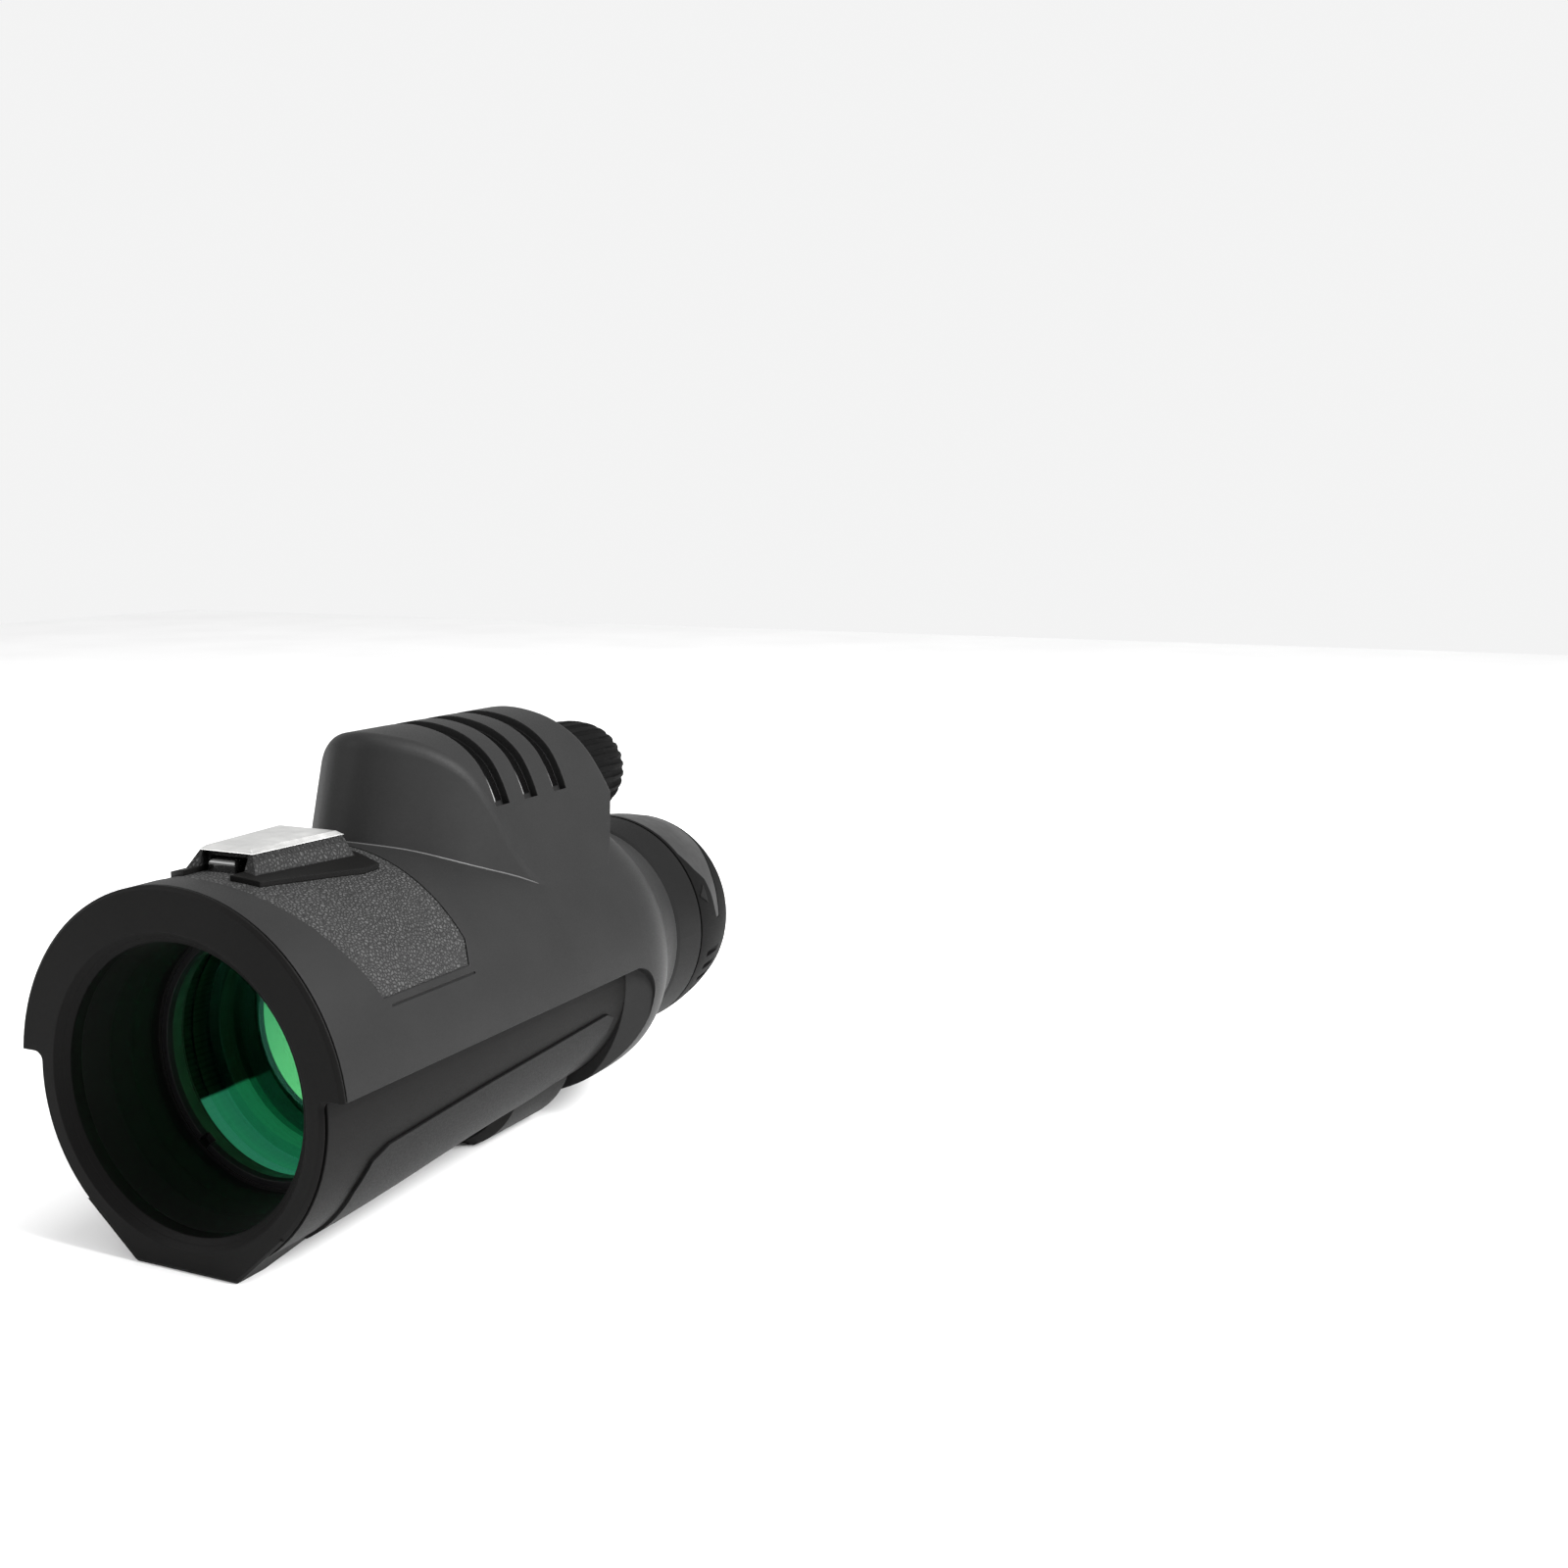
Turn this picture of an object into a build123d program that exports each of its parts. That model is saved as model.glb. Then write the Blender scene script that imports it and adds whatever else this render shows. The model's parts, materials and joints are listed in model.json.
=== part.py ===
from build123d import *

import os
from math import atan2, cos, degrees, hypot, radians

# A hand-held prismatic monocular, modelled along its optical axis: y runs from the front face (0) to the end
# of the eyecup, x is sideways and z is up, both from the optical axis. place() moves each piece to the row
# frame, whose origin is under the middle of the object, on the surface that it rests on. All sizes are in mm.

# Driving dimensions
LENGTH = 145.0
AXIS_HEIGHT = 28.5
BODY_R = 32.0
NECK_R = 22.1
NECK_Y = 117.0
TAPER_Y = 88.0
KEEL_DEPTH = 25.6
APERTURE_R = 23.1
LOWER_R = 28.2
STEP_Z = 3.0
WINDOW_END_Y = 91.0
LOWER_END_Y = 85.9
RUBBER = 2.4
LOWER_RUBBER = 1.6
COVER_WALL = 2.0
SEAM_Y = 1.0

CELL_R = 24.0
CELL_START_Y = 4.0
CELL_END_Y = 34.0
BORE_R = 20.2
BORE_START_Y = 40.0
BORE_END_Y = 101.0
REAR_BORE_R = 17.0

FOOT_HALF = 10.0
BOSS_START_Y = 63.0
BOSS_END_Y = 84.5
BOSS_BUSH_Y = 74.0
BOSS_CORE_R = 6.2
BUSH_RECESS = 0.2
TRIPOD_HOLE_R = 3.175
TRIPOD_BUSH_R = 5.0
TRIPOD_DEPTH = 5.5

HUMP_TOP_Z = 49.7
HUMP_START_Y = 39.6
RAKE = 0.29
RAKE_LEVEL_Z = 31.0
GROOVE_WIDTH = 4.2
GROOVE_DEPTH = 1.5
GROOVE_YS = (61.6, 70.5, 80.0)
GROOVE_END_Z = 36.5

KNOB_Z = 34.3
KNOB_R = 10.2
KNOB_START_Y = 96.4
KNOB_END_Y = 121.0
KNOB_RIBS = 26
POCKET_R = 10.9
SHAFT_R = 2.9
RUNNING = 0.05

FOCUS_CELL_Y = 50.0
FOCUS_CELL_LENGTH = 8.0
FOCUS_TRAVEL = 3.75
DRIVE_START_Y = 53.0
DRIVE_END_Y = 57.6
DECK_Z = 27.4
COVER_SCREWS = ((-11.0, 58.0), (11.0, 58.0), (-11.6, 86.5), (11.6, 86.5))
ROD_X = 17.3
ROD_R = 1.0
PRISM_Y = 68.0

COLLAR_END_Y = 126.8
EYECUP_START_Y = 127.1
BARREL_END_Y = 139.5
BARREL_R = 17.0
SLEEVE_R = 20.8
SLEEVE_BACK_R = 19.4
SLEEVE_STEP_Y = 129.0
EYECUP_LIFT = 5.5
EYECUP_TURN = 100.0
PIN_Y = 124.6
SCREW_HAND = 1
PANEL_DEPTH = 0.6

HUMP_NOSE_FILLET = 3.0
HUMP_REAR_FILLET = 1.5
INLAY_DEPTH = 0.6
INLAY_LINE_Z = 13.2
PAD_SEAT = 0.7
PAD_RISE = 0.5
PAD_GAP = 0.15
BADGE_TOP_Z = 34.9
BUSH_R = 4.6
SEAL_R = 4.0
NUT_R = 4.8


def place(shape):
    """From the optical frame to the row frame."""
    return Pos(0, -LENGTH / 2, AXIS_HEIGHT) * shape


def save(node, *shapes):
    """Writes one node: one solid, or a group of separate ones."""
    solids = [solid for shape in shapes for solid in place(shape).solids()]
    export_step(solids[0] if len(solids) == 1 else Compound(solids), f"parts/{node}.step")


# Basic solids

def turned(*outline):
    """A turned piece: its (y, radius) outline spun about the optical axis."""
    points = [(radius, y) for y, radius in outline]
    return revolve(make_face(Polyline(*points, close=True)), Axis.Y)


def ring(start_y, end_y, outer, inner=0.0):
    return turned((start_y, inner), (start_y, outer), (end_y, outer), (end_y, inner))


def across(face, start_y, end_y):
    """A prism along y from a face drawn in (x, z)."""
    return Pos(0, end_y, 0) * extrude(Plane.XZ * face, end_y - start_y)


def sideways(face, half_width):
    """A prism along x, both ways from the middle, from a face drawn in (y, z)."""
    return extrude(Plane.YZ * face, half_width, both=True)


def block(x_range, y_range, z_range):
    size = [high - low for low, high in (x_range, y_range, z_range)]
    middle = [(low + high) / 2 for low, high in (x_range, y_range, z_range)]
    return Pos(*middle) * Box(*size)


def polygon(*points):
    return make_face(Polyline(*points, close=True))


def upright(x, y, low_z, high_z, radius):
    """A cylinder along z."""
    return Pos(x, y, (low_z + high_z) / 2) * Cylinder(radius, high_z - low_z)


def moved_in(points, inset):
    """Points of an open line, each moved square to the line towards its right-hand side."""
    result = []
    for index, (x, y) in enumerate(points):
        before = points[max(index - 1, 0)]
        after = points[min(index + 1, len(points) - 1)]
        run_x = after[0] - before[0]
        run_y = after[1] - before[1]
        length = hypot(run_x, run_y)
        result.append((x + inset * run_y / length, y - inset * run_x / length))
    return result


def mirrored(points):
    """The points with their mirror images in front, for a line symmetric about x = 0."""
    return [(-x, y) for x, y in reversed(points) if x > 0] + list(points)


# Outer form

def taper_section(y):
    """Half width and depth below the axis of the body where it narrows to the neck, in one S-curve."""
    low, high = 0.0, 1.0
    for _ in range(40):
        middle = (low + high) / 2
        if taper_y(middle) < y:
            low = middle
        else:
            high = middle
    way = (low + high) / 2
    sink = 3 * way ** 2 - 2 * way ** 3
    half_width = BODY_R + (NECK_R - BODY_R) * sink
    depth = KEEL_DEPTH + (NECK_R - KEEL_DEPTH) * way ** 4
    return half_width, depth


def taper_y(way):
    """The y of the S-curve's point, from its start (0) to the neck (1)."""
    controls = (TAPER_Y, TAPER_Y + 15, NECK_Y - 11, NECK_Y)
    weights = ((1 - way) ** 3, 3 * way * (1 - way) ** 2, 3 * way ** 2 * (1 - way), way ** 3)
    return sum(weight * control for weight, control in zip(weights, controls))


def barrel_form(inset=0.0):
    """The round body with its S-curve to the neck, where the underside is flatter than the top."""
    sections = []
    for y in (LOWER_END_Y, TAPER_Y, 92, 96, 100, 104, 108, 112, NECK_Y):
        half_width, depth = taper_section(max(y, TAPER_Y))
        half_width -= inset
        top = ThreePointArc((half_width, 0), (0, half_width), (-half_width, 0))
        bottom = EllipticalCenterArc((0, 0), half_width, depth - inset, 180, arc_size=180)
        sections.append(Pos(0, y, 0) * (Plane.XZ * make_face(top + bottom)))
    return ring(SEAM_Y, LOWER_END_Y, BODY_R - inset) + loft(sections)


def hump_form(inset=0.0):
    """The hump over the focus drive: one cross-section, a rounded raked nose and a raked rear face."""
    section = [(0, HUMP_TOP_Z), (4, 49.3), (7.2, 48.5), (10.2, 47.2), (12.6, 45.6), (14.7, 43.6)]
    section += [(16.4, 41.0), (17.8, 37.9), (19.3, 33.3), (21.4, 26.6), (23.9, 21.3), (25.6, 18.6)]
    shifted = moved_in(section, inset)
    across_line = mirrored([(0, HUMP_TOP_Z - inset)] + shifted[1:])
    low = across_line[-1][1]
    half = across_line[-1][0]
    body = Spline(*across_line) + Polyline((half, low), (half - 8, 5), (-half + 8, 5), (-half, low))
    prism = across(make_face(body), 25, 110)

    plan = [(0, HUMP_START_Y), (3.2, 40.2), (6.2, 41.9), (9, 44.4), (12, 47.4), (14.6, 50.4), (16.9, 53.8)]
    plan += [(19, 57.8), (21, 62.4), (23.2, 67.5), (25.2, 73.0), (26.2, 80.0), (25.2, 87.0), (22.4, 92.5)]
    plan += [(18.5, 96.2), (14, 98.6), (8, 100.0)]
    line = mirrored([(0, HUMP_START_Y + inset)] + moved_in(plan, -inset)[1:])
    front = Spline(*line) + Line(line[-1], line[0])
    wall = extrude(make_face(front), 60, dir=(0, RAKE, 1))
    wall = Pos(0, -RAKE * RAKE_LEVEL_Z, 0) * wall

    rear = sideways(
        polygon((20, 0), (20, 70), (84.0 - inset, 70), (107.5 - inset, 6), (107.5 - inset, 0)), 45
    )
    hump = prism & wall & rear
    top_edges = [edge for edge in hump.edges() if edge.bounding_box().max.Z > 45]
    nose_edge = min(top_edges, key=lambda edge: edge.bounding_box().min.Y)
    if inset < HUMP_NOSE_FILLET:
        hump = fillet(nose_edge, HUMP_NOSE_FILLET - inset)
    top_edges = [edge for edge in hump.edges() if edge.bounding_box().max.Z > 45]
    rear_edge = max(top_edges, key=lambda edge: edge.bounding_box().min.Y)
    return fillet(rear_edge, HUMP_REAR_FILLET)


def outer_form(inset=0.0):
    """Barrel and hump together, moved in by the inset."""
    return barrel_form(inset) + hump_form(inset)


def lower_form(inset=0.0):
    """The recessed lower body: as wide all along, with an underside that rises towards the back."""
    stations = [(SEAM_Y, 28.2), (12, 28.0), (28, 27.2), (46, 25.7), (64, 24.5), (LOWER_END_Y, 24.0)]
    sections = [Pos(0, y, 0) * (Plane.XZ * Ellipse(LOWER_R - inset, low - inset)) for y, low in stations]
    return loft(sections)


def lower_window(inset=0.0):
    """The room below the parting line that the upper armour leaves, with a ramp at its back end."""
    end = WINDOW_END_Y + inset
    side = Pos((end - 10) / 2, (STEP_Z + inset - 60) / 2) * Rectangle(end + 10, 60 + STEP_Z + inset)
    corner = side.vertices().sort_by(Axis.Y)[-2:].sort_by(Axis.X)[-1]
    side = fillet(corner, 7 + inset)
    ramp = turned(
        (LOWER_END_Y, 0),
        (LOWER_END_Y, LOWER_R - inset),
        (WINDOW_END_Y + 0.6, BODY_R - 0.4 - inset),
        (WINDOW_END_Y + 5, BODY_R - 0.4 - inset),
        (WINDOW_END_Y + 5, 0),
    )
    return sideways(side, 45) - ramp


def inlay_region(inset=0.0):
    """The room over the front of the body for the textured inlay, drawn in plan."""
    front = ThreePointArc((28.4 - inset, 14.3 + inset), (0, 6.3 + inset), (-28.4 + inset, 14.3 + inset))
    rear = [(-28.4 + inset, 36.3 - inset), (-26.2 + inset, 38.4 - inset)]
    rear += [(26.2 - inset, 38.4 - inset), (28.4 - inset, 36.3 - inset)]
    side = Polyline((-28.4 + inset, 14.3 + inset), *rear, (28.4 - inset, 14.3 + inset))
    return Pos(0, 0, 10) * extrude(make_face(front + side), 40)


def knob_pocket():
    return Pos(0, 0, KNOB_Z) * ring(KNOB_START_Y - 0.6, 130, POCKET_R)


def hump_grooves(skin, floor):
    """Three grooves over the top of the hump, down to the floor form, with inclined ends."""
    band = None
    for y in GROOVE_YS:
        cut = polygon(
            (-40, 70),
            (-18.6, GROOVE_END_Z),
            (-17.4, GROOVE_END_Z - 1.2),
            (17.4, GROOVE_END_Z - 1.2),
            (18.6, GROOVE_END_Z),
            (40, 70),
        )
        strip = across(cut, y - GROOVE_WIDTH / 2, y + GROOVE_WIDTH / 2)
        band = strip if band is None else band + strip
    return (skin & band) - floor


def front_face(upper, lower, foot):
    """The front view's outline: a wide upper half, a narrower lower half and a flat foot."""
    top = Circle(upper) & Pos(0, upper / 2 + STEP_Z) * Rectangle(2 * upper, upper)
    foot_top = -lower * 0.72
    sides = Polyline((-FOOT_HALF, foot), (FOOT_HALF, foot), (19.4, foot_top), (-19.4, foot_top), close=True)
    face = top + Circle(lower) + make_face(sides)
    inner = [v for v in face.vertices() if abs(v.Y - STEP_Z) < 0.01 and abs(v.X) < upper - 1]
    return fillet(inner, 1.6)


# Casing and its trim

def front_ring():
    """The ring round the lens hood, with its conical mouth and a small bevel on its edge."""
    plate = across(front_face(BODY_R, LOWER_R - 0.3, -AXIS_HEIGHT), 0, SEAM_Y - 0.3)
    bevel = front_face(BODY_R - 0.6, LOWER_R - 0.9, -AXIS_HEIGHT + 0.6)
    plate = loft([Plane.XZ * bevel, Pos(0, 0.5, 0) * (Plane.XZ * front_face(BODY_R, LOWER_R - 0.3, -AXIS_HEIGHT))])
    plate = plate + across(front_face(BODY_R, LOWER_R - 0.3, -AXIS_HEIGHT), 0.5, SEAM_Y - 0.3)
    step = across(front_face(BODY_R - 0.7, LOWER_R - 1.0, -AXIS_HEIGHT + 0.7), SEAM_Y - 0.3, SEAM_Y)
    spigot = ring(SEAM_Y, CELL_START_Y, CELL_R)
    mouth = turned((-1, 0), (-1, 26.1), (1.7, APERTURE_R), (CELL_START_Y + 1, APERTURE_R), (CELL_START_Y + 1, 0))
    return plate + step + spigot - mouth


def foot_block():
    """The flat foot below the front of the lower armour."""
    side = polygon((SEAM_Y, -10), (SEAM_Y, -AXIS_HEIGHT), (6.5, -AXIS_HEIGHT), (12.5, -25.5), (12.5, -10))
    front = polygon((-FOOT_HALF, -AXIS_HEIGHT), (FOOT_HALF, -AXIS_HEIGHT), (24, -14), (-24, -14))
    return sideways(side, 30) & across(front, 0, 20)


def boss_block():
    """The tripod boss: a rounded block below the lower armour with a flat bottom and sloped ends."""
    def arch(inset):
        cap = Pos(0, -AXIS_HEIGHT + inset + 15) * Rectangle(60, 30)
        return Plane.XZ * (Pos(0, -13) * Ellipse(18.5 - inset, 17.0 - inset) & cap)

    small = 1.6
    sections = [arch(small), arch(0), arch(0), arch(small)]
    ys = (BOSS_START_Y, BOSS_START_Y + 2.2, BOSS_END_Y - 2.2, BOSS_END_Y)
    return loft([Pos(0, y, 0) * section for y, section in zip(ys, sections)], ruled=True)


def boss_core():
    """The rigid pillar in the boss, a little above its rubber bottom."""
    return upright(0, BOSS_BUSH_Y, -AXIS_HEIGHT + BUSH_RECESS, -21.5, BOSS_CORE_R)


def upper_armour():
    """The rubber upper shell with the hump, its grooves, the inlay's seat and the knob's pocket."""
    shell = outer_form() - lower_window() - housing_outside() - knob_pocket()
    shell = shell - hump_grooves(hump_form(), hump_form(GROOVE_DEPTH))
    seat = inlay_region() - ring(-5, 60, BODY_R - INLAY_DEPTH)
    line = block((-40, 40), (15.5, 37.0), (INLAY_LINE_Z, INLAY_LINE_Z + 0.35)) - ring(-5, 60, BODY_R - 0.3)
    shell = shell - seat - line - badge_pins()
    return shell - Pos(0, 0, KNOB_Z) * ring(90, KNOB_START_Y, BUSH_R)


def lower_armour():
    """The rubber lower shell with the foot and the tripod boss."""
    below = lower_window() & block((-60, 60), (SEAM_Y, LOWER_END_Y), (-60, STEP_Z))
    shell = (lower_form() & below) + (foot_block() & below) + boss_block()
    shell = shell - lower_form(LOWER_RUBBER) - housing_outside()
    for side in (1, -1):
        shell = shell - pad_form(side, 0.0, 3.0)
    hole = upright(0, BOSS_BUSH_Y, -40, -10, BOSS_CORE_R)
    return shell - hole


def pad_form(side, inset, above):
    """The room of a grip pad: its side outline, cut out of a thin skin on the lower body."""
    outline = [(11.4, -25), (10.9, -15.2), (12.6, -10.6), (16.2, -8.8), (24, -8.2), (42, -6.9), (60, -6.0)]
    outline += [(79.6, -4.9), (82.2, -6.2), (81.4, -9.4), (77.6, -13.0), (72.0, -17.0), (64, -20.2), (40, -21.6)]
    face = offset(polygon(*outline), -inset) if inset else polygon(*outline)
    near = extrude(Plane.YZ.offset(4) * face, 40)
    prism = near if side > 0 else mirror(near, Plane.YZ)
    return (prism & lower_form(-above)) - lower_form(PAD_SEAT)


def grip_pad(side):
    return pad_form(side, PAD_GAP, PAD_RISE)


def top_inlay():
    """The textured panel set into the top of the body."""
    skin = ring(0, 60, BODY_R - 0.12) - ring(-1, 61, BODY_R - INLAY_DEPTH)
    return (inlay_region(0.12) & skin) - badge_pins()


def badge_outline(inset, front_y=9.4):
    """Plan outline of the badge: a little wider at the back, with a rounded front."""
    front = ThreePointArc((-8.9 + inset, front_y + 1.2 + inset), (0, front_y - 1.0 + inset),
                          (8.9 - inset, front_y + 1.2 + inset))
    rear = Polyline((8.9 - inset, front_y + 1.2 + inset), (12.6 - inset, 30.5), (12.4 - inset, 34.6 - inset),
                    (-12.4 + inset, 34.6 - inset), (-12.6 + inset, 30.5), (-8.9 + inset, front_y + 1.2 + inset))
    return make_face(front + rear)


def badge_base():
    """The thin flange under the badge, which follows the round body."""
    plate = Pos(0, 0, 20) * extrude(badge_outline(0), 20)
    skin = ring(0, 60, BODY_R + 0.75) - ring(-1, 61, BODY_R - 0.12)
    recess = block((-4.6, 4.6), (0, 14.2), (20, 50))
    return (plate & skin) - recess - badge_pins()


def badge_block():
    """The raised badge: sloped sides, and a square recess in its front for the sight post."""
    low = Pos(0, 0, 27.5) * (Plane.XY * polygon((-9.6, 9.6), (9.6, 9.6), (11.4, 33.4), (-11.4, 33.4)))
    high = Pos(0, 0, BADGE_TOP_Z) * (Plane.XY * polygon((-5.2, 13.3), (5.2, 13.3), (6.6, 32.8), (-6.6, 32.8)))
    solid = loft([low, high])
    recess = block((-4.6, 4.6), (0, 14.2), (20, 50))
    front = block((-3.9, 3.9), (0, 16.8), (20, BADGE_TOP_Z - 0.9))
    return solid - recess - front - ring(0, 60, BODY_R + 0.75) - badge_pins()


def badge_plate():
    """The bevelled plate on top of the badge."""
    low = Pos(0, 0, BADGE_TOP_Z) * polygon((-5.4, 13.1), (5.4, 13.1), (6.8, 33.0), (-6.8, 33.0))
    high = Pos(0, 0, BADGE_TOP_Z + 0.7) * polygon((-4.4, 13.9), (4.4, 13.9), (5.8, 32.2), (-5.8, 32.2))
    return loft([low, high])


def badge_pins(radius=0.9):
    """Two heat-staked pins that hold the badge, through inlay and armour into the housing."""
    pins = upright(0, 20, 27.8, BADGE_TOP_Z - 1.5, radius)
    return pins + upright(0, 28, 27.8, BADGE_TOP_Z - 1.5, radius)


def sight_post():
    """The gloss post in the badge's front recess, with a rounded top."""
    post = block((-2.6, 2.6), (12.2, 16.8), (31.0, BADGE_TOP_Z - 1.1))
    top = [edge for edge in post.edges() if edge.center().Z > BADGE_TOP_Z - 1.2]
    return fillet(top, 0.8) - ring(0, 60, BODY_R - 0.12) - ring(14.2, 60, BODY_R + 0.75)


# Rigid housing

def housing_outside():
    """The outside of the rigid casing under both armours, hump cover included."""
    upper = outer_form(RUBBER) - lower_window(RUBBER)
    return upper + lower_form(LOWER_RUBBER)


def main_housing():
    """The moulded casing: lens bore, prism bore, eyepiece bore, and the slot for the focus arm."""
    casing = (barrel_form(RUBBER) - lower_window(RUBBER)) + lower_form(LOWER_RUBBER) + boss_core()
    bore = turned(
        (0, 0),
        (0, CELL_R),
        (CELL_END_Y, CELL_R),
        (BORE_START_Y, BORE_R),
        (BORE_END_Y, BORE_R),
        (BORE_END_Y, REAR_BORE_R),
        (NECK_Y + 1, REAR_BORE_R),
        (NECK_Y + 1, 0),
    )
    low_y = FOCUS_CELL_Y - FOCUS_TRAVEL
    high_y = FOCUS_CELL_Y + FOCUS_CELL_LENGTH + FOCUS_TRAVEL
    slot = block((-3.8, 3.8), (low_y, high_y), (10, 40))
    deck = block((-8.5, 8.5), (42.6, 95), (DECK_Z, 40))
    bush = upright(0, BOSS_BUSH_Y, -40, -AXIS_HEIGHT + BUSH_RECESS + TRIPOD_DEPTH, TRIPOD_BUSH_R)
    return casing - bore - slot - deck - bush - knob_pocket() - badge_pins() - cover_screw_holes(0.85)


def focus_cover():
    """The rigid cover inside the hump, which closes the focus drive off."""
    room = hump_form(RUBBER + COVER_WALL) & block((-60, 60), (0, 90), (0, 60))
    lugs = hump_form(RUBBER) & (block((-60, 60), (55.5, 60.5), (20, 60)) + block((-60, 60), (84, 89), (20, 60)))
    lugs = lugs & (block((-60, -9.4), (40, 90), (0, 33)) + block((9.4, 60), (40, 90), (0, 33)))
    cover = (hump_form(RUBBER) - room) + lugs
    cover = cover - barrel_form(RUBBER) - block((-60, 60), (0, 130), (0, 24.0)) - knob_pocket()
    return cover - Pos(0, 0, KNOB_Z) * ring(60, 130, BUSH_R) - cover_screw_holes(1.1)


def cover_screw_holes(radius):
    holes = None
    for x, y in COVER_SCREWS:
        hole = upright(x, y, 22.6, 34, radius)
        holes = hole if holes is None else holes + hole
    return holes


def cover_screws():
    """Four pan-head screws down through the cover's lugs."""
    screws = []
    for x, y in COVER_SCREWS:
        shank = upright(x, y, 22.8, 33.2, 0.85)
        head = upright(x, y, 33.0, 34.4, 1.9)
        slot = block((x - 1.5, x + 1.5), (y - 0.3, y + 0.3), (33.9, 35))
        screws.append(shank + head - slot)
    return screws


def tripod_bush():
    """The brass insert with the tripod thread's minor bore and a knurled rim."""
    low = -AXIS_HEIGHT + BUSH_RECESS
    body = upright(0, BOSS_BUSH_Y, low, low + TRIPOD_DEPTH, TRIPOD_BUSH_R)
    hole = upright(0, BOSS_BUSH_Y, low - 1, low + TRIPOD_DEPTH - 0.8, TRIPOD_HOLE_R)
    return body - hole


# Objective

def lens(front_y, rear_y, radius, front_sag, rear_sag):
    """A lens whose faces bulge by their sags at the axis; a negative sag is a hollow face."""
    middle = radius * 0.5
    front = ThreePointArc((0, front_y - front_sag), (middle, front_y - 0.75 * front_sag), (radius, front_y))
    rear = ThreePointArc((0, rear_y + rear_sag), (middle, rear_y + 0.75 * rear_sag), (radius, rear_y))
    walls = Line((radius, front_y), (radius, rear_y)) + Line((0, front_y - front_sag), (0, rear_y + rear_sag))
    return revolve(make_face(front + walls + rear), Axis.Y)


def objective_cell():
    """The stepped tube that holds the objective, with shallow baffle steps in its mouth."""
    outline = [(CELL_START_Y, CELL_R), (CELL_END_Y, CELL_R), (CELL_END_Y, 19.4), (30.6, 19.4), (30.6, 21.6)]
    outline += [(19.4, 21.6), (19.4, 22.1), (17.6, 22.1), (17.6, 22.0), (13.4, 22.3), (13.4, 22.0)]
    outline += [(9.0, 22.5), (9.0, 22.2), (CELL_START_Y, 23.1)]
    return turned(*outline)


def objective_retainer():
    """The threaded ring in front of the objective, with two spanner slots."""
    body = turned((19.6, 21.6), (23.0, 21.6), (23.0, 20.6), (20.6, 20.2), (19.6, 20.5))
    for angle in (130, 310):
        slot = Rot(0, angle, 0) * block((18, 24), (19, 21.0), (-1.0, 1.0))
        body = body - slot
    return body


def front_baffle():
    """The ring behind the lens that stops stray light and carries the guide rods' front ends."""
    body = turned((40.2, BORE_R), (43.4, BORE_R), (43.4, 14.6), (42.6, 14.6), (40.2, 16.2))
    for rod in guide_rods():
        body = body - rod
    return body


# Focus drive

def guide_rods():
    return [Pos(x, 0, 0) * ring(40.8, 68.6, ROD_R) for x in (-ROD_X, ROD_X)]


def focus_lens_cell():
    """The sliding cell, with two ears that run on the rods and a flat on top for the arm."""
    end_y = FOCUS_CELL_Y + FOCUS_CELL_LENGTH
    body = ring(FOCUS_CELL_Y, end_y, 15.2)
    for x in (-ROD_X, ROD_X):
        body = body + Pos(x, 0, 0) * ring(FOCUS_CELL_Y + 1, end_y - 1, 2.3)
    flat = block((-20, 20), (0, 100), (14.0, 20))
    bore = ring(0, 100, 12.0) + ring(0, FOCUS_CELL_Y + 5.4, 13.0)
    body = body - flat - bore
    for x in (-ROD_X, ROD_X):
        body = body - Pos(x, 0, 0) * ring(0, 100, ROD_R + RUNNING)
    for y in arm_screw_ys():
        body = body - upright(0, y, 12.9, 20, 0.7)
    return body


def arm_screw_ys():
    return (FOCUS_CELL_Y + 1.8, FOCUS_CELL_Y + 5.3)


def focus_arm():
    """The arm from the focus nut down through the housing's slot to a foot on the sliding cell."""
    eye = Pos(0, 0, KNOB_Z) * ring(DRIVE_START_Y, DRIVE_END_Y, 6.0)
    stem = block((-3.2, 3.2), (DRIVE_START_Y + 0.1, DRIVE_END_Y), (14.0, KNOB_Z))
    foot = block((-3.2, 3.2), (FOCUS_CELL_Y + 0.4, DRIVE_END_Y), (14.0, 15.4))
    hollow = block((-4, 4), (DRIVE_START_Y + 0.9, DRIVE_END_Y - 0.8), (15.4, 26.5))
    body = eye + stem + foot - hollow - Pos(0, 0, KNOB_Z) * ring(0, 100, NUT_R)
    for y in arm_screw_ys():
        body = body - upright(0, y, 13, 15.6, 0.9)
    return body


def arm_screws():
    screws = []
    for y in arm_screw_ys():
        screws.append(upright(0, y, 13.0, 15.5, 0.7) + upright(0, y, 15.4, 16.3, 1.2))
    return screws


def focus_nut():
    """The brass nut that the focus screw drives, with a flange at its back."""
    body = ring(DRIVE_START_Y, DRIVE_END_Y + 1.0, NUT_R) + ring(DRIVE_END_Y, DRIVE_END_Y + 1.0, NUT_R + 1.0)
    return Pos(0, 0, KNOB_Z) * (body - ring(0, 100, SHAFT_R + RUNNING))


def front_bearing():
    """The bracket that carries the focus screw's front end, on a foot that straddles the housing's slot."""
    eye = Pos(0, 0, KNOB_Z) * ring(47.3, 49.0, 4.2)
    stem = block((-4.2, 4.2), (47.3, 49.0), (DECK_Z, KNOB_Z))
    foot = block((-6.2, 6.2), (47.3, 49.0), (DECK_Z, DECK_Z + 1.6))
    return eye + stem + foot - Pos(0, 0, KNOB_Z) * ring(0, 100, SHAFT_R + RUNNING)


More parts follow.
